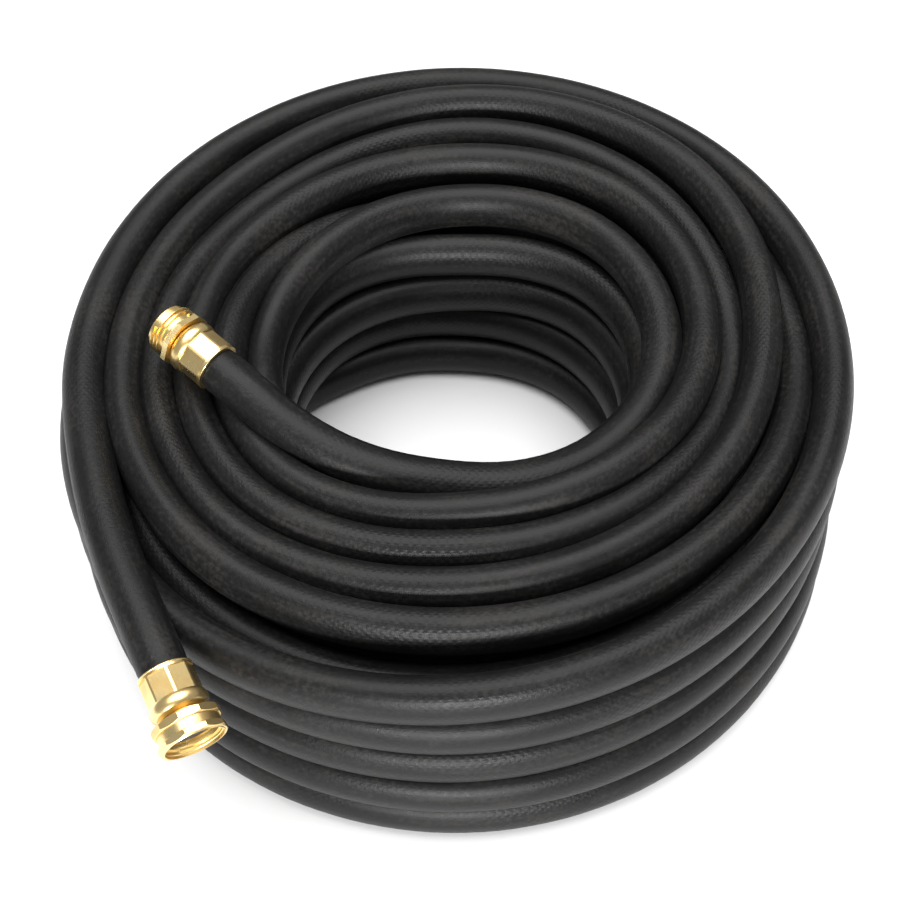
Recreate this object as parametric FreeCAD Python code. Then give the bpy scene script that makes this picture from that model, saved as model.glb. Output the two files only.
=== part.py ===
import FreeCAD, Part
import math
import os
from FreeCAD import Placement, Rotation, Vector

# Soaker hose, wound in a five-layer coil, with a brass male coupling on one end and a brass
# swivel coupling on the other. Millimetres, +Z up, origin under the middle of the coil, on the
# surface that it lies on.

# Hose
HOSE_D = 24.0
HOSE_R = HOSE_D / 2
BORE_R = 7.95            # 5/8 in bore
HALF_WIDE = 10.4         # half width of the wound hose, which the bend makes oval
HALF_TALL = 13.6         # its half height

# Coil: five layers, each with its own middle and its own inner and outer turns
LAYERS = 5
LAYER_PITCH = 26.6
TOP_COLUMNS = 6
COLUMN_PITCH = 19.2
OUTER_BOTTOM_R = 202.0   # centre line of the outermost turn, bottom layer
OUTER_TOP_R = 200.0
OUTER_BOTTOM_Y = -4.0    # the coil's middle moves back as it rises
OUTER_TOP_Y = 9.5
INNER_BOTTOM_R = 103.0   # centre line of the innermost turn, bottom layer
INNER_TOP_R = 98.0
INNER_BOTTOM_Y = -13.0
INNER_TOP_Y = 16.5
CUSP_SIDE = 2.2          # how far a crease between two layers stands outside the centre line
CUSP_TOP = 5.8           # how far a crease between two columns stands above it
LAYER_LAP = 1.0          # each layer runs this far into the one above

# Free ends of the hose, as route points, from the coil to the coupling's lip
MALE_LIP = Vector(-119.8, -29.0, 147.2)
MALE_AXIS = Vector(-0.759, 0.634, 0.151)
MALE_ROUTE = [(-2.0, -79.0, 120.0), (-45.0, -73.5, 121.5), (-82.0, -58.0, 131.5)]
FEMALE_LIP = Vector(-132.3, -181.9, 121.6)
FEMALE_AXIS = Vector(0.455, -0.880, -0.140)
FEMALE_ROUTE = [(-194.4, -2.0, 120.0), (-186.5, -54.3, 121.2), (-166.8, -113.6, 122.9)]
STRAIGHT_OUT = 10.0      # hose runs straight for this long before each lip
HOSE_IN = 20.0           # and reaches this far into its ferrule
ARC_SHARE = 0.45
SWAGED_R = 11.05         # outside of the hose where the ferrule squeezes it

# Stems: barbed tubes pushed into the bore
STEM_START = 1.5
STEM_R = 7.6
STEM_BORE_R = 6.4
BARB_R = 8.25
BARB_PITCH = 3.0
BARBS = 5
NECK_R = 9.10
NECK_FROM = 20.4

# Ferrules: thin brass sleeves crimped to eight flats
FERRULE_LONG = 22.0
FERRULE_LIP_R = 12.9
FERRULE_WAIST_R = 12.0
FERRULE_CORNER_R = 12.75
FERRULE_SHOULDER_R = 13.7
FERRULE_END_HOLE_R = 9.2
CRIMP_FROM = 2.0
CRIMP_TO = 14.4
CRIMPS = 8

# Garden hose thread, 3/4-11.5 NH
THREAD_PITCH = 25.4 / 11.5
MALE_MAJOR_R = 13.49
MALE_ROOT_R = 12.06
FEMALE_ROOT_R = 13.62
FEMALE_MINOR_R = 12.30
CREST_HALF = 0.28
ROOT_HALF = 0.90

# Male coupling, measured from its ferrule's lip
COLLAR_FROM = 22.2
COLLAR_TO = 25.1
COLLAR_FLAT_R = 13.8
COLLAR_SIDES = 8
MALE_NECK_R = 12.9
MALE_NECK_TO = 26.8
MALE_THREAD_TO = 34.8
PILOT_R = 11.75
MALE_END = 36.4
MALE_BORE_R = 9.4
MALE_BORE_FROM = 27.5

# Swivel coupling, measured from its ferrule's lip
FLANGE_FROM = 25.3
FLANGE_TO = 26.8
FLANGE_R = 11.6
NUT_FROM = 23.4
NUT_WALL_TO = 25.1
NUT_RECESS_TO = 29.2
NUT_RECESS_R = 12.4
NUT_THREAD_TO = 34.3
NUT_END = 35.8
NUT_MOUTH_R = 13.9
NUT_HOLE_R = 9.17
NUT_BODY_R = 14.6
RIM_FLAT_R = 15.4
RIM_SIDES = 10
REAR_RIM = (23.9, 27.9)
FRONT_RIM = (32.1, 35.5)
WASHER_FROM = 26.9
WASHER_R = 12.2
WASHER_HOLE_R = 8.0
DISC_FROM = 27.3
DISC_TO = 28.9
DISC_HOLE_R = 1.3


def revolved(outline):
    """Solid of revolution about Z from (radius, height) corners; three-point tuples are arcs."""
    edges = []
    here = outline[0]
    for step in outline[1:] + [outline[0]]:
        if len(step) == 4:
            via, end = step[:2], step[2:]
            arc = Part.Arc(to_xz(here), to_xz(via), to_xz(end))
            edges.append(arc.toShape())
            here = end
        elif step != here:
            edges.append(Part.LineSegment(to_xz(here), to_xz(step)).toShape())
            here = step
    face = Part.Face(Part.Wire(edges))
    return face.revolve(Vector(0, 0, 0), Vector(0, 0, 1), 360)


def to_xz(point):
    return Vector(point[0], 0, point[1])


def prism(sides, flat_r, low, high, turn=0.5):
    """A regular prism about Z, with flats flat_r from its axis, turned by a share of a side."""
    corner_r = flat_r / math.cos(math.pi / sides)
    corners = []
    for i in range(sides + 1):
        angle = 2 * math.pi * (i + turn) / sides
        corners.append(Vector(corner_r * math.cos(angle), corner_r * math.sin(angle), low))
    return Part.Face(Part.makePolygon(corners)).extrude(Vector(0, 0, high - low))


def at_coupling(shape, lip, axis):
    """Move a shape made along +Z from a ferrule's lip to where that coupling lies."""
    placed = shape.copy()
    placed.Placement = Placement(lip, Rotation(Vector(0, 0, 1), axis))
    return placed


# Coil

def layer_value(bottom, top, layer):
    return bottom + (top - bottom) * layer / (LAYERS - 1)


def layer_body(layer):
    """One layer without its eye: a disc whose rim is the outermost turn."""
    r = layer_value(OUTER_BOTTOM_R, OUTER_TOP_R, layer)
    middle = HALF_TALL + layer * LAYER_PITCH
    low = 0.0 if layer == 0 else middle - LAYER_PITCH / 2
    high = middle + LAYER_PITCH / 2
    low_r = r if layer == 0 else r + CUSP_SIDE
    if layer < LAYERS - 1:
        rim = [(r + HALF_WIDE, middle, r + CUSP_SIDE, high), (r + CUSP_SIDE, high + LAYER_LAP),
               (0.0, high + LAYER_LAP)]
    else:
        crease = middle + CUSP_TOP
        slope = math.sqrt(0.5)
        rim = [(r + HALF_WIDE * slope, middle + HALF_TALL * slope, r - COLUMN_PITCH / 2, crease)]
        for column in range(1, TOP_COLUMNS):
            crest_r = r - column * COLUMN_PITCH
            rim.append((crest_r, middle + HALF_TALL, crest_r - COLUMN_PITCH / 2, crease))
        rim.append((0.0, crease))
    body = revolved([(0.0, low), (low_r, low)] + rim)
    body.translate(Vector(0, layer_value(OUTER_BOTTOM_Y, OUTER_TOP_Y, layer), 0))
    return body


def layer_eye(layer):
    """The space inside one layer, whose waist is the innermost turn."""
    r = layer_value(INNER_BOTTOM_R, INNER_TOP_R, layer)
    middle = HALF_TALL + layer * LAYER_PITCH
    low = middle - LAYER_PITCH / 2 if layer else 0.0
    high = middle + LAYER_PITCH / 2
    low_r = r - CUSP_SIDE if layer else r
    outline = [(0.0, low - LAYER_LAP), (low_r, low - LAYER_LAP), (low_r, low)]
    if layer < LAYERS - 1:
        outline.append((r - HALF_WIDE, middle, r - CUSP_SIDE, high))
        outline += [(r - CUSP_SIDE, high + LAYER_LAP), (0.0, high + LAYER_LAP)]
    else:
        slope = math.sqrt(0.5)
        top = middle + HALF_TALL
        outline.append((r - HALF_WIDE, middle - 1.0, r - HALF_WIDE * slope, middle + HALF_TALL * slope))
        outline += [(r, top), (r, top + LAYER_LAP), (0.0, top + LAYER_LAP)]
    eye = revolved(outline)
    eye.translate(Vector(0, layer_value(INNER_BOTTOM_Y, INNER_TOP_Y, layer), 0))
    return eye


def coil():
    rings = [layer_body(layer).cut(layer_eye(layer)) for layer in range(LAYERS)]
    whole = rings[0].multiFuse(rings[1:])
    return whole.removeSplitter()


# Hose ends

def route_path(points):
    """Straight runs joined by tangent arcs, each as large as its two runs allow."""
    edges = []
    radii = []
    start = points[0]
    for before, corner, after in zip(points, points[1:], points[2:]):
        come = (corner - before).normalize()
        go = (after - corner).normalize()
        half = come.getAngle(go) / 2
        shorter = min((corner - before).Length, (after - corner).Length)
        radius = ARC_SHARE * shorter / math.tan(half)
        back = ARC_SHARE * shorter
        first = corner - come * back
        last = corner + go * back
        inward = (go - come).normalize()
        centre = corner + inward * (radius / math.cos(half))
        middle = centre - inward * radius
        edges.append(Part.LineSegment(start, first).toShape())
        edges.append(Part.Arc(first, middle, last).toShape())
        radii.append(round(radius))
        start = last
    edges.append(Part.LineSegment(start, points[-1]).toShape())
    return Part.Wire(edges), radii


def hose_end(name, route, lip, axis):
    """One free end: a tube from the coil to inside its ferrule, where it is squeezed."""
    points = [Vector(*p) for p in route]
    points += [lip - axis * STRAIGHT_OUT, lip + axis * HOSE_IN]
    path, radii = route_path(points)
    start = (points[1] - points[0]).normalize()
    tubes = []
    for r in (HOSE_R, BORE_R):
        ring = Part.Wire(Part.Circle(points[0], start, r).toShape())
        tubes.append(path.makePipeShell([ring], True, True))
    tube = tubes[0].cut(tubes[1])
    expected = math.pi * (HOSE_R**2 - BORE_R**2) * path.Length
    print(name, "radii", radii, "length", round(path.Length), "volume ratio", tube.Volume / expected)
    squeeze = Part.makeCylinder(HOSE_R + 2, HOSE_IN + 1).cut(Part.makeCylinder(SWAGED_R, HOSE_IN + 1))
    return tube.cut(at_coupling(squeeze, lip, axis))


# Couplings

def thread_ridge(foot_r, crest_r, low, turns):
    """One helical ridge from foot_r to crest_r, trapezoid in section."""
    helix = Part.makeHelix(THREAD_PITCH, THREAD_PITCH * turns, foot_r)
    bury = foot_r - math.copysign(0.3, crest_r - foot_r)
    section = [(bury, -ROOT_HALF), (crest_r, -CREST_HALF), (crest_r, CREST_HALF), (bury, ROOT_HALF)]
    corners = [Vector(r, 0, z) for r, z in section]
    outline = Part.makePolygon(corners + corners[:1])
    ridge = Part.Wire(helix.Edges).makePipeShell([outline], True, True)
    ridge.translate(Vector(0, 0, low))
    return ridge


def stem(end):
    """Barbed stem as an outline's outer side, from its tip up to the neck."""
    outline = [(STEM_BORE_R, STEM_START), (STEM_R, STEM_START)]
    for barb in range(BARBS):
        foot = STEM_START + 1.0 + barb * BARB_PITCH
        outline += [(STEM_R, foot), (BARB_R, foot + BARB_PITCH * 0.7), (STEM_R, foot + BARB_PITCH * 0.7)]
    outline += [(STEM_R, NECK_FROM), (NECK_R, NECK_FROM), (NECK_R, end)]
    return outline


def ferrule():
    """Crimped sleeve: flared lip, eight flats, round shoulder and an end wall."""
    outer = [(SWAGED_R, 0.0), (FERRULE_LIP_R - 0.3, 0.0), (FERRULE_LIP_R, 0.35, FERRULE_LIP_R - 0.25, 0.8),
             (FERRULE_CORNER_R, CRIMP_FROM), (FERRULE_CORNER_R, CRIMP_TO),
             (FERRULE_SHOULDER_R - 0.25, 15.6, FERRULE_SHOULDER_R, 17.0),
             (FERRULE_SHOULDER_R - 0.45, 19.5, 11.6, 21.3),
             (10.8, 21.9, 10.0, FERRULE_LONG), (FERRULE_END_HOLE_R, FERRULE_LONG)]
    inner = [(FERRULE_END_HOLE_R, 21.0), (SWAGED_R, 21.0)]
    sleeve = revolved(outer + inner)
    flats = prism(CRIMPS, FERRULE_WAIST_R, CRIMP_FROM, CRIMP_TO)
    ring = Part.makeCylinder(HOSE_R + 6, CRIMP_TO - CRIMP_FROM, Vector(0, 0, CRIMP_FROM))
    return sleeve.cut(ring.cut(flats))


def male_coupling():
    """Stem, octagonal collar and male hose thread, turned from one bar."""
    outer = stem(COLLAR_FROM) + [(COLLAR_FLAT_R + 2, COLLAR_FROM), (COLLAR_FLAT_R + 2, COLLAR_TO),
                                 (MALE_NECK_R, COLLAR_TO), (MALE_NECK_R, MALE_NECK_TO - 0.8),
                                 (MALE_ROOT_R, MALE_NECK_TO), (MALE_ROOT_R, MALE_THREAD_TO),
                                 (PILOT_R, MALE_THREAD_TO), (PILOT_R, MALE_END - 0.2),
                                 (PILOT_R - 0.2, MALE_END)]
    inner = [(MALE_BORE_R, MALE_END), (MALE_BORE_R, MALE_BORE_FROM), (STEM_BORE_R, MALE_BORE_FROM - 2.5)]
    body = revolved(outer + inner)
    collar = prism(COLLAR_SIDES, COLLAR_FLAT_R, COLLAR_FROM, COLLAR_TO, 0.0)
    shear = Part.makeCylinder(COLLAR_FLAT_R + 4, COLLAR_TO - COLLAR_FROM, Vector(0, 0, COLLAR_FROM))
    body = body.cut(shear.cut(collar))
    turns = (MALE_THREAD_TO - MALE_NECK_TO) / THREAD_PITCH - 0.85
    ridge = thread_ridge(MALE_ROOT_R, MALE_MAJOR_R, MALE_NECK_TO + 0.9, turns)
    return body.fuse(ridge)


def female_stem():
    """Barbed stem whose flange holds the swivel nut."""
    outer = stem(FLANGE_FROM) + [(FLANGE_R, FLANGE_FROM), (FLANGE_R, FLANGE_TO)]
    return revolved(outer + [(STEM_BORE_R, FLANGE_TO)])


def swivel_nut():
    """Nut with two ten-sided rims, a groove between them and the female hose thread."""
    outer = [(NUT_HOLE_R, NUT_FROM), (NUT_BODY_R - 0.8, NUT_FROM), (NUT_BODY_R, NUT_FROM + 0.8),
             (NUT_BODY_R, NUT_END - 0.5), (NUT_BODY_R - 0.35, NUT_END)]
    inner = [(NUT_MOUTH_R, NUT_END), (NUT_MOUTH_R, NUT_THREAD_TO), (FEMALE_ROOT_R, NUT_THREAD_TO - 0.3),
             (FEMALE_ROOT_R, NUT_RECESS_TO), (NUT_RECESS_R, NUT_RECESS_TO), (NUT_RECESS_R, NUT_WALL_TO),
             (NUT_HOLE_R, NUT_WALL_TO)]
    nut = revolved(outer + inner)
    hollow = Part.makeCylinder(NUT_BODY_R - 0.2, NUT_END, Vector(0, 0, 0))
    for low, high in (REAR_RIM, FRONT_RIM):
        cone = revolved([(0.0, low), (RIM_FLAT_R - 0.2, low), (RIM_FLAT_R + 0.9, low + 0.9),
                         (RIM_FLAT_R + 0.9, high - 0.9), (RIM_FLAT_R - 0.2, high), (0.0, high)])
        rim = prism(RIM_SIDES, RIM_FLAT_R, low, high).common(cone).cut(hollow)
        nut = nut.fuse(rim)
    turns = (NUT_THREAD_TO - NUT_RECESS_TO) / THREAD_PITCH - 0.95
    ridge = thread_ridge(FEMALE_ROOT_R, FEMALE_MINOR_R, NUT_RECESS_TO + 0.95, turns)
    return nut.fuse(ridge)


def hose_washer():
    return revolved([(WASHER_HOLE_R, WASHER_FROM), (WASHER_R, WASHER_FROM), (WASHER_R, NUT_RECESS_TO),
                     (WASHER_HOLE_R, NUT_RECESS_TO)])


def flow_disc():
    """Disc in the washer's hole whose small orifice limits the flow into the hose."""
    return revolved([(DISC_HOLE_R, DISC_FROM), (WASHER_HOLE_R, DISC_FROM), (WASHER_HOLE_R, DISC_TO),
                     (WASHER_HOLE_R - 1.2, DISC_TO), (DISC_HOLE_R + 2.2, DISC_TO - 0.8),
                     (DISC_HOLE_R, DISC_TO - 0.8)])


def single(shape):
    """The shape as one solid, with its placement built in."""
    whole = shape.removeSplitter()
    assert len(whole.Solids) == 1 and whole.isValid()
    return whole.Solids[0]


os.makedirs("parts", exist_ok=True)
MALE_AXIS.normalize()
FEMALE_AXIS.normalize()
nodes = {
    "hose_coil": coil(),
    "hose_male_end": hose_end("male end", MALE_ROUTE, MALE_LIP, MALE_AXIS),
    "hose_female_end": hose_end("female end", FEMALE_ROUTE, FEMALE_LIP, FEMALE_AXIS),
    "male_ferrule": at_coupling(ferrule(), MALE_LIP, MALE_AXIS),
    "male_coupling": at_coupling(male_coupling(), MALE_LIP, MALE_AXIS),
    "female_ferrule": at_coupling(ferrule(), FEMALE_LIP, FEMALE_AXIS),
    "female_stem": at_coupling(female_stem(), FEMALE_LIP, FEMALE_AXIS),
    "swivel_nut": at_coupling(swivel_nut(), FEMALE_LIP, FEMALE_AXIS),
    "hose_washer": at_coupling(hose_washer(), FEMALE_LIP, FEMALE_AXIS),
    "flow_disc": at_coupling(flow_disc(), FEMALE_LIP, FEMALE_AXIS),
}
for name, shape in nodes.items():
    solid = single(shape)
    solid.exportStep("parts/" + name + ".step")
    box = solid.BoundBox
    print(name, round(solid.Volume), [round(v, 1) for v in (box.XMin, box.YMin, box.ZMin)],
          [round(v, 1) for v in (box.XMax, box.YMax, box.ZMax)])
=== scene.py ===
import math

import bmesh
import bpy
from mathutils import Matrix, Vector


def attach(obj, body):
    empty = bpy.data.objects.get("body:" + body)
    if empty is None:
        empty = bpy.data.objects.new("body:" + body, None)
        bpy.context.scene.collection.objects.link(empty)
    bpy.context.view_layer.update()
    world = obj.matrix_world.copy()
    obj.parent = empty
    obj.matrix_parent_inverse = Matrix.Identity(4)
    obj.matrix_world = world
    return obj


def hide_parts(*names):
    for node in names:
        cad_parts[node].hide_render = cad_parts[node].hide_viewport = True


# Soaker hose in a five-layer coil. Metres and degrees, in the frame of the CAD model.
# Angles run anticlockwise seen from above: 0 is +X, 90 the back, 180 -X and 270 the front.

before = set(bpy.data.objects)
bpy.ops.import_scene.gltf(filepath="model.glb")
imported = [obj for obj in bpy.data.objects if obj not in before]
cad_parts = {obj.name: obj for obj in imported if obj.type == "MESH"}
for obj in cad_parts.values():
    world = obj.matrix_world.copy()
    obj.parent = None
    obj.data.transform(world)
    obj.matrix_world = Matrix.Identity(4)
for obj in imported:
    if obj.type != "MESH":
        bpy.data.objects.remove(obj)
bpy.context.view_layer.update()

# Hose
HOSE_D = 0.024
ROUND_R = 0.0117         # the free ends are round
HALF_WIDE = 0.0104       # the wound hose is oval: half its width
HALF_TALL = 0.0136       # and half its height
SWAGED_R = 0.0108        # inside its ferrule
SIDES = 24
RING_STEP = 0.008
SWAGED_LENGTH = 0.020
ROUND_LENGTH = 0.16      # round for this far from each ferrule
BLEND_LENGTH = 0.30      # then oval over this length

# Free ends: the same points as the CAD model's tubes
MALE_LIP = Vector((-0.1198, -0.0290, 0.1472))
MALE_AXIS = Vector((-0.759, 0.634, 0.151)).normalized()
MALE_ROUTE = [(-0.0820, -0.0580, 0.1315), (-0.0450, -0.0735, 0.1215)]
FEMALE_LIP = Vector((-0.1323, -0.1819, 0.1216))
FEMALE_AXIS = Vector((0.455, -0.880, -0.140)).normalized()
FEMALE_ROUTE = [(-0.1865, -0.0543, 0.1212), (-0.1668, -0.1136, 0.1229)]
STRAIGHT_OUT = 0.010
HOSE_IN = 0.020

# Winding below the top layer. A move shifts the hose by a column (outwards) or a layer (up).
STEP = 22.5              # degrees between the route's points
MOVE = 45.0              # degrees that a move takes
LAYER_PITCH = 0.0266
LAYERS = 5
COLUMNS = 6
MOVES = [(190, 0, -1), (550, 0, -1), (910, 0, -1), (1270, 0, -1)]
MOVES += [(1570 + 360 * turn, 1, 0) for turn in range(5)]
MOVES += [(3325, 0, 1)]
MOVES += [(3640 + 360 * turn, -1, 0) for turn in range(4)]
MOVES += [(5035, 0, 1)]
MOVES += [(5350 + 317 * turn, 1, 0) for turn in range(4)]
MOVES += [(6670, 0, 1)]
MOVES += [(6825 + 400 * turn, -1, 0) for turn in range(4)]
LOW_END = 8370

# Radius of the outermost and innermost turn of each layer, lowest layer first: millimetres every 45 degrees
OUTER = [(200, 194, 192, 195, 200, 212, 214, 209),
         (198, 193, 193, 195, 200, 212, 213, 207),
         (195, 192, 194, 196, 200, 210, 208, 201),
         (196, 194, 197, 197, 199, 208, 205, 198),
         (195, 201, 202, 198, 200, 206, 202, 194)]
INNER = [(98, 88, 80, 93, 102, 109, 110, 105),
         (99, 92, 87, 98, 103, 109, 109, 103),
         (100, 96, 84, 92, 102, 108, 104, 99),
         (103, 101, 88, 100, 104, 107, 102, 97),
         (108, 112, 107, 100, 103, 105, 98, 97)]

# Top layer: (radius, height) in millimetres every 45 degrees
CENTRE_Y = 7.6
FIRST_TURN = [(84, 115), (95, 112), (108, 116), (112, 118), (108, 114), (100, 118), (104, 109)]
FIRST_ANGLE = -90
SPIRAL = [(116, 95), (116, 110), (121, 119), (121, 120),
          (105, 120), (113, 124), (128, 120), (140, 122), (134, 121), (135, 120), (139, 120), (140, 120),
          (126, 120), (131, 117), (144, 108), (157, 118), (158, 120), (154, 112), (157, 117), (159, 119),
          (146, 120), (148, 120), (159, 123), (182, 125), (181, 125), (171, 121), (174, 121), (176, 120),
          (168, 120), (170, 120), (178, 108), (188, 101), (194, 95), (197, 94), (201, 94), (206, 104),
          (202, 121), (194, 120), (195, 120), (201, 120), (202, 120), (198, 120), (194, 120)]
SPIRAL_ANGLE = 90
SHRINK = math.cos(math.radians(STEP / 2))   # the spline runs this much inside its points


def smooth(x):
    x = min(max(x, 0.0), 1.0)
    return x * x * (3 - 2 * x)


def between(ends, share):
    return ends[0] + (ends[1] - ends[0]) * share


def through(near, share):
    """A smooth curve through the middle two of four values."""
    a, b, c, d = near
    bend = (b - c) * 2 + (c - a) / 2 + (d - b) / 2
    start = (c - a) / 2
    return b + share * (start + share * ((c - b) - start - bend + share * bend))


def around(stations, angle):
    """The value at an angle of a list that has one every 45 degrees from 0."""
    place = angle / 45
    first = math.floor(place)
    return through([stations[(first + k) % 8] for k in (-1, 0, 1, 2)], place - first)


def ring_point(angle, radius, height):
    reach = radius / SHRINK
    turn = math.radians(angle)
    return Vector((reach * math.cos(turn), CENTRE_Y + reach * math.sin(turn), height)) / 1000


def moved(angle, which):
    return sum(move[which] * smooth((angle - move[0]) / MOVE) for move in MOVES)


def low_point(angle):
    """A point of the four lower layers at this angle, counted on from the first turn's start."""
    out = moved(angle, 1) / (COLUMNS - 1)
    layer = LAYERS - 1 + moved(angle, 2)
    below = min(int(layer), LAYERS - 2)
    rings = [between((around(INNER[k], angle), around(OUTER[k], angle)), out) for k in (below, below + 1)]
    radius = between(rings, layer - below)
    return ring_point(angle, radius, (HALF_TALL + layer * LAYER_PITCH) * 1000)


def table_points(table, first_angle):
    """Route points every STEP degrees through a table's stations."""
    points = []
    for i in range(2 * len(table) - 1):
        near = [table[min(max(i // 2 + k, 0), len(table) - 1)] for k in (-1, 0, 1, 2)]
        radius, height = [through(values, (i % 2) / 2) for values in zip(*near)]
        points.append(ring_point(first_angle + i * STEP, radius, height))
    return points


def route():
    """The whole hose's route, from inside the male ferrule to inside the female one."""
    points = [MALE_LIP + MALE_AXIS * HOSE_IN, MALE_LIP - MALE_AXIS * STRAIGHT_OUT]
    points += [Vector(p) for p in MALE_ROUTE]
    points += table_points(FIRST_TURN, FIRST_ANGLE)
    angle = FIRST_ANGLE + 45 * (len(FIRST_TURN) - 1) + STEP
    while angle < LOW_END:
        points.append(low_point(angle))
        angle += STEP
    points += table_points(SPIRAL, SPIRAL_ANGLE)
    points += [Vector(p) for p in FEMALE_ROUTE]
    points += [FEMALE_LIP - FEMALE_AXIS * STRAIGHT_OUT, FEMALE_LIP + FEMALE_AXIS * HOSE_IN]
    return points


def spline_line(points):
    """Points read from the smooth spline that has the route's points as its control points."""
    curve = bpy.data.curves.new("hose_line", "CURVE")
    curve.dimensions = "3D"
    spline = curve.splines.new("NURBS")
    spline.points.add(len(points) - 1)
    for slot, point in zip(spline.points, points):
        slot.co = (*point, 1.0)
    spline.order_u = 3
    spline.use_endpoint_u = True
    spline.resolution_u = 8
    holder = bpy.data.objects.new("hose_line", curve)
    bpy.context.scene.collection.objects.link(holder)
    bpy.context.view_layer.update()
    mesh = bpy.data.meshes.new_from_object(holder.evaluated_get(bpy.context.evaluated_depsgraph_get()))
    line = [v.co.copy() for v in mesh.vertices]
    bpy.data.meshes.remove(mesh)
    bpy.data.objects.remove(holder)
    bpy.data.curves.remove(curve)
    return line


def respaced(line, step):
    """The same line with its points step apart, and the distance of each from the start."""
    along = [0.0]
    for a, b in zip(line, line[1:]):
        along.append(along[-1] + (b - a).length)
    count = round(along[-1] / step)
    spaced = []
    k = 0
    for i in range(count + 1):
        want = along[-1] * i / count
        while k < len(line) - 2 and along[k + 1] < want:
            k += 1
        share = (want - along[k]) / (along[k + 1] - along[k])
        spaced.append((line[k].lerp(line[k + 1], share), want))
    return spaced, along[-1]


def section(distance, total):
    """Half width and half height of the hose at a distance from its male end."""
    end = min(distance, total - distance)
    oval = smooth((end - ROUND_LENGTH) / BLEND_LENGTH)
    wide = between((ROUND_R, HALF_WIDE), oval)
    tall = between((ROUND_R, HALF_TALL), oval)
    free = smooth((end - SWAGED_LENGTH + 0.001) / 0.003)
    return between((SWAGED_R, wide), free), between((SWAGED_R, tall), free)


def make_hose(name, line):
    spaced, total = respaced(line, RING_STEP)
    mesh = bmesh.new()
    uv = mesh.loops.layers.uv.new("hose")
    rings = []
    for i, (point, distance) in enumerate(spaced):
        before = spaced[max(i - 1, 0)][0]
        after = spaced[min(i + 1, len(spaced) - 1)][0]
        tangent = (after - before).normalized()
        side = tangent.cross(Vector((0, 0, 1))).normalized()
        up = side.cross(tangent)
        wide, tall = section(distance, total)
        ring = []
        for k in range(SIDES):
            turn = 2 * math.pi * k / SIDES
            ring.append(mesh.verts.new(point + side * (wide * math.cos(turn)) + up * (tall * math.sin(turn))))
        rings.append(ring)
    for i in range(len(rings) - 1):
        for k in range(SIDES):
            n = (k + 1) % SIDES
            face = mesh.faces.new((rings[i][k], rings[i + 1][k], rings[i + 1][n], rings[i][n]))
            face.smooth = True
            corners = ((k, i), (k, i + 1), (k + 1, i + 1), (k + 1, i))
            for loop, (u, v) in zip(face.loops, corners):
                loop[uv].uv = (u / SIDES, spaced[v][1])
    mesh.faces.new(rings[0])
    mesh.faces.new(list(reversed(rings[-1])))
    bmesh.ops.recalc_face_normals(mesh, faces=mesh.faces)
    data = bpy.data.meshes.new(name)
    mesh.to_mesh(data)
    mesh.free()
    piece = bpy.data.objects.new(name, data)
    bpy.context.scene.collection.objects.link(piece)
    return piece


# Camera

CAMERA_DISTANCE = 0.782
CAMERA_ELEVATION = math.radians(55.18)
CAMERA_AIM = Vector((-0.0048, -0.0020, 0.0370))
CAMERA_LENS = 54.6
CAMERA_SENSOR = 36.0


def make_camera():
    data = bpy.data.cameras.new("camera")
    data.lens = CAMERA_LENS
    data.sensor_width = CAMERA_SENSOR
    camera = bpy.data.objects.new("camera", data)
    back = Vector((0, -math.cos(CAMERA_ELEVATION), math.sin(CAMERA_ELEVATION)))
    camera.location = CAMERA_AIM + back * CAMERA_DISTANCE
    camera.rotation_euler = (-back).to_track_quat("-Z", "Y").to_euler()
    bpy.context.scene.collection.objects.link(camera)
    bpy.context.scene.camera = camera


make_camera()
hose_points = spline_line(route())
hose = make_hose("hose", hose_points)
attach(hose, "hose")
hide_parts("hose_coil", "hose_male_end", "hose_female_end")


# Materials

YARNS = 24                       # bands around the hose, each way
YARN_PITCH = 0.0042              # along it
RUBBER = (0.0085, 0.0083, 0.0081)
RUBBER_DARK = (0.0045, 0.0046, 0.0047)
RUBBER_DUSTY = (0.0210, 0.0198, 0.0185)
BRASS = (0.87, 0.66, 0.30)
BRASS_DARK = (0.70, 0.49, 0.20)
BRASS_BRIGHT = (0.94, 0.76, 0.40)


def node_material(name, colour, roughness, metallic=0.0, specular=0.5):
    material = bpy.data.materials.new(name)
    material.use_nodes = True
    shader = material.node_tree.nodes["Principled BSDF"]
    shader.inputs["Base Color"].default_value = (*colour, 1.0)
    shader.inputs["Roughness"].default_value = roughness
    shader.inputs["Metallic"].default_value = metallic
    shader.inputs["Specular IOR Level"].default_value = specular
    return material, material.node_tree.nodes, material.node_tree.links, shader


def mapped(nodes, links, source, scale):
    """The source coordinate, scaled."""
    mapping = nodes.new("ShaderNodeMapping")
    mapping.inputs["Scale"].default_value = scale
    links.new(source, mapping.inputs["Vector"])
    return mapping.outputs["Vector"]


def noise(nodes, links, vector, scale, detail):
    """Fine to coarse mottling, about 1 / scale metres in size."""
    texture = nodes.new("ShaderNodeTexNoise")
    texture.inputs["Scale"].default_value = scale
    texture.inputs["Detail"].default_value = detail
    links.new(vector, texture.inputs["Vector"])
    return texture.outputs["Fac"]


def ramp(nodes, links, source, stops):
    """Colour by value: stops are (value, colour)."""
    node = nodes.new("ShaderNodeValToRGB")
    elements = node.color_ramp.elements
    while len(elements) < len(stops):
        elements.new(0.5)
    for element, (value, colour) in zip(elements, stops):
        element.position = value
        element.color = (*colour, 1.0)
    links.new(source, node.inputs["Fac"])
    return node.outputs["Color"]


def remap(nodes, links, source, low, high, out_low, out_high):
    """The source, with low to high stretched to out_low to out_high."""
    node = nodes.new("ShaderNodeMapRange")
    for socket, value in (("From Min", low), ("From Max", high), ("To Min", out_low), ("To Max", out_high)):
        node.inputs[socket].default_value = value
    links.new(source, node.inputs["Value"])
    return node.outputs["Result"]


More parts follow.
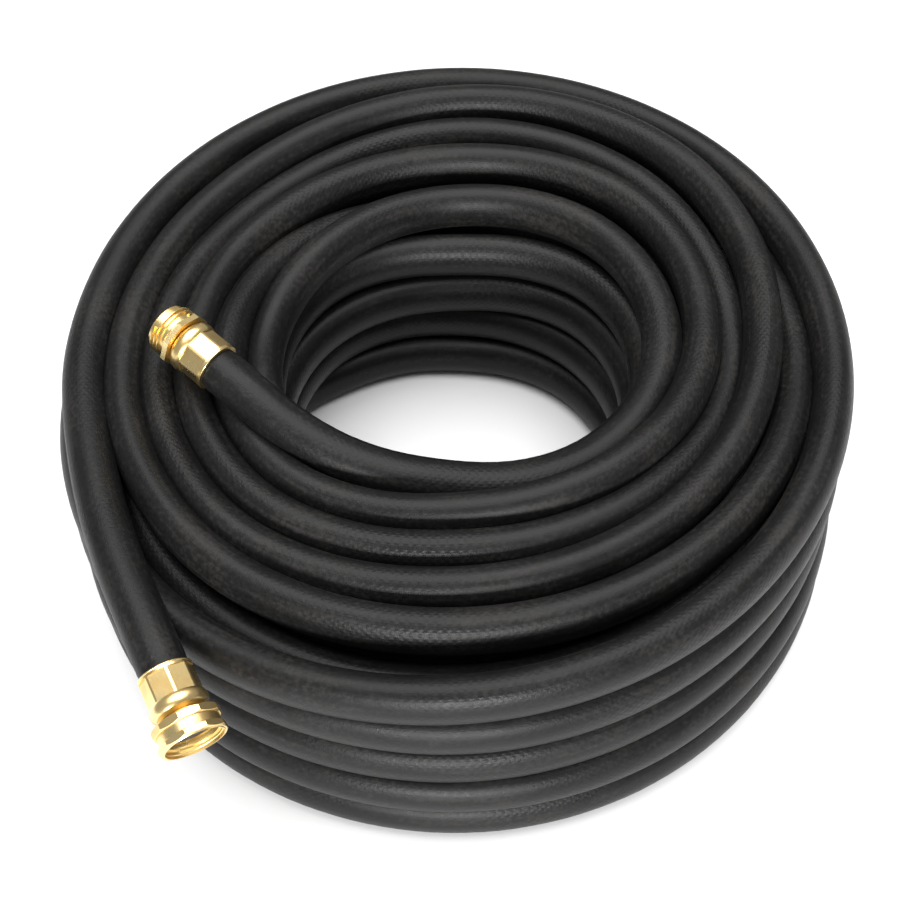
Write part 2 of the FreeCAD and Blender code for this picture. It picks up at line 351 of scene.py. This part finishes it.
def product(nodes, links, first, second):
    """Two sources multiplied."""
    node = nodes.new("ShaderNodeMath")
    node.operation = "MULTIPLY"
    links.new(first, node.inputs[0])
    links.new(second, node.inputs[1])
    return node.outputs["Value"]


def weighted(nodes, links, *parts):
    """The sum of (source, weight) pairs."""
    total = None
    for source, weight in parts:
        node = nodes.new("ShaderNodeMath")
        node.operation = "MULTIPLY_ADD"
        node.inputs[1].default_value = weight
        node.inputs[2].default_value = 0.0
        links.new(source, node.inputs[0])
        if total:
            links.new(total, node.inputs[2])
        total = node.outputs["Value"]
    return total


def bump(nodes, links, shader, height, distance, strength):
    node = nodes.new("ShaderNodeBump")
    node.inputs["Distance"].default_value = distance
    node.inputs["Strength"].default_value = strength
    links.new(height, node.inputs["Height"])
    links.new(node.outputs["Normal"], shader.inputs["Normal"])


def braid(nodes, links, hose_uv):
    """The spiralled yarns under the cover: two sets of diagonal bands."""
    cycle = 2 * math.pi / 10         # one band in the wave texture's diagonal
    sets = []
    for lean in (1, -1):
        scale = (YARNS * cycle, lean * cycle / YARN_PITCH, 0)
        texture = nodes.new("ShaderNodeTexWave")
        texture.bands_direction = "DIAGONAL"
        texture.inputs["Scale"].default_value = 1.0
        links.new(mapped(nodes, links, hose_uv, scale), texture.inputs["Vector"])
        sets.append(texture.outputs["Fac"])
    return product(nodes, links, *sets)


def rubber():
    """Charcoal rubber: the yarns show through in patches, with long scuffs and a dusty bloom."""
    material, nodes, links, shader = node_material("hose_rubber", RUBBER, 0.45, specular=0.18)
    uv = nodes.new("ShaderNodeUVMap")
    uv.uv_map = "hose"
    place = nodes.new("ShaderNodeTexCoord").outputs["Object"]
    around = mapped(nodes, links, uv.outputs["UV"], (math.pi * HOSE_D, 1, 1))
    scuffs = noise(nodes, links, mapped(nodes, links, around, (1, 0.05, 1)), 260, 2.0)
    bloom = noise(nodes, links, place, 22, 4.0)
    grain = noise(nodes, links, place, 1400, 2.0)
    speckle = noise(nodes, links, place, 420, 4.0)
    patches = remap(nodes, links, noise(nodes, links, around, 9, 2.0), 0.46, 0.66, 0.12, 1.0)
    yarns = product(nodes, links, braid(nodes, links, uv.outputs["UV"]), patches)

    dust = weighted(nodes, links, (scuffs, 0.35), (bloom, 0.30), (speckle, 0.35))
    height = weighted(nodes, links, (yarns, 0.50), (grain, 0.5), (speckle, 0.3), (scuffs, 0.4))
    stops = [(0.36, RUBBER_DARK), (0.51, RUBBER), (0.64, RUBBER_DUSTY)]
    links.new(ramp(nodes, links, dust, stops), shader.inputs["Base Color"])
    links.new(remap(nodes, links, dust, 0.38, 0.62, 0.36, 0.52), shader.inputs["Roughness"])
    bump(nodes, links, shader, height, 0.0003, 0.7)
    return material


def brass():
    """Stamped and turned brass, polished, with faint tarnish and a fine grain."""
    material, nodes, links, shader = node_material("brass", BRASS, 0.22, 1.0)
    place = nodes.new("ShaderNodeTexCoord").outputs["Object"]
    tarnish = noise(nodes, links, place, 70, 4.0)
    grain = noise(nodes, links, place, 1100, 2.0)
    links.new(ramp(nodes, links, tarnish, [(0.32, BRASS_DARK), (0.5, BRASS), (0.7, BRASS_BRIGHT)]),
              shader.inputs["Base Color"])
    links.new(remap(nodes, links, tarnish, 0.3, 0.7, 0.36, 0.24), shader.inputs["Roughness"])
    bump(nodes, links, shader, grain, 0.0001, 0.25)
    return material


def washer_rubber():
    """Soft black rubber with a fine moulded grain."""
    material, nodes, links, shader = node_material("washer_rubber", (0.03, 0.03, 0.03), 0.6)
    place = nodes.new("ShaderNodeTexCoord").outputs["Object"]
    speckle = noise(nodes, links, place, 600, 3.0)
    links.new(ramp(nodes, links, speckle, [(0.35, (0.022, 0.022, 0.023)), (0.65, (0.05, 0.05, 0.05))]),
              shader.inputs["Base Color"])
    links.new(remap(nodes, links, speckle, 0.35, 0.65, 0.5, 0.7), shader.inputs["Roughness"])
    bump(nodes, links, shader, speckle, 0.0001, 0.4)
    return material


def disc_plastic():
    """Cream moulded plastic, slightly mottled."""
    material, nodes, links, shader = node_material("disc_plastic", (0.80, 0.74, 0.55), 0.4)
    place = nodes.new("ShaderNodeTexCoord").outputs["Object"]
    mottle = noise(nodes, links, place, 160, 3.0)
    links.new(ramp(nodes, links, mottle, [(0.3, (0.72, 0.65, 0.46)), (0.7, (0.84, 0.79, 0.62))]),
              shader.inputs["Base Color"])
    links.new(remap(nodes, links, mottle, 0.3, 0.7, 0.32, 0.48), shader.inputs["Roughness"])
    bump(nodes, links, shader, mottle, 0.0001, 0.2)
    return material


def paint(names, material):
    for name in names:
        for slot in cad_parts[name].material_slots:
            slot.material = material


hose.data.materials.append(rubber())
paint(["male_ferrule", "male_coupling", "female_ferrule", "female_stem", "swivel_nut"], brass())
paint(["hose_washer"], washer_rubber())
paint(["flow_disc"], disc_plastic())


# Floor and light

def make_stage():
    bpy.ops.mesh.primitive_plane_add(size=12.0, location=(0, 0, 0))
    floor = bpy.context.object
    floor.name = "floor"
    material, nodes, links, shader = node_material("floor", (0.78, 0.78, 0.78), 0.9)
    floor.data.materials.append(material)


def area_light(name, location, aim, size, power):
    data = bpy.data.lights.new(name, "AREA")
    data.shape = "RECTANGLE"
    data.size, data.size_y = size
    data.energy = power
    light = bpy.data.objects.new(name, data)
    light.location = location
    light.rotation_euler = (Vector(aim) - Vector(location)).to_track_quat("-Z", "Y").to_euler()
    bpy.context.scene.collection.objects.link(light)


make_stage()
world = bpy.data.worlds.new("studio")
world.use_nodes = True
world.node_tree.nodes["Background"].inputs["Color"].default_value = (1, 1, 1, 1)
world.node_tree.nodes["Background"].inputs["Strength"].default_value = 0.36
bpy.context.scene.world = world
bpy.context.scene.view_settings.view_transform = "Standard"
area_light("top", (0.0, 0.25, 1.9), (0, 0, 0), (2.0, 2.0), 66)
area_light("front", (0.0, -1.7, 0.55), (0, 0, 0.05), (0.8, 0.3), 44)
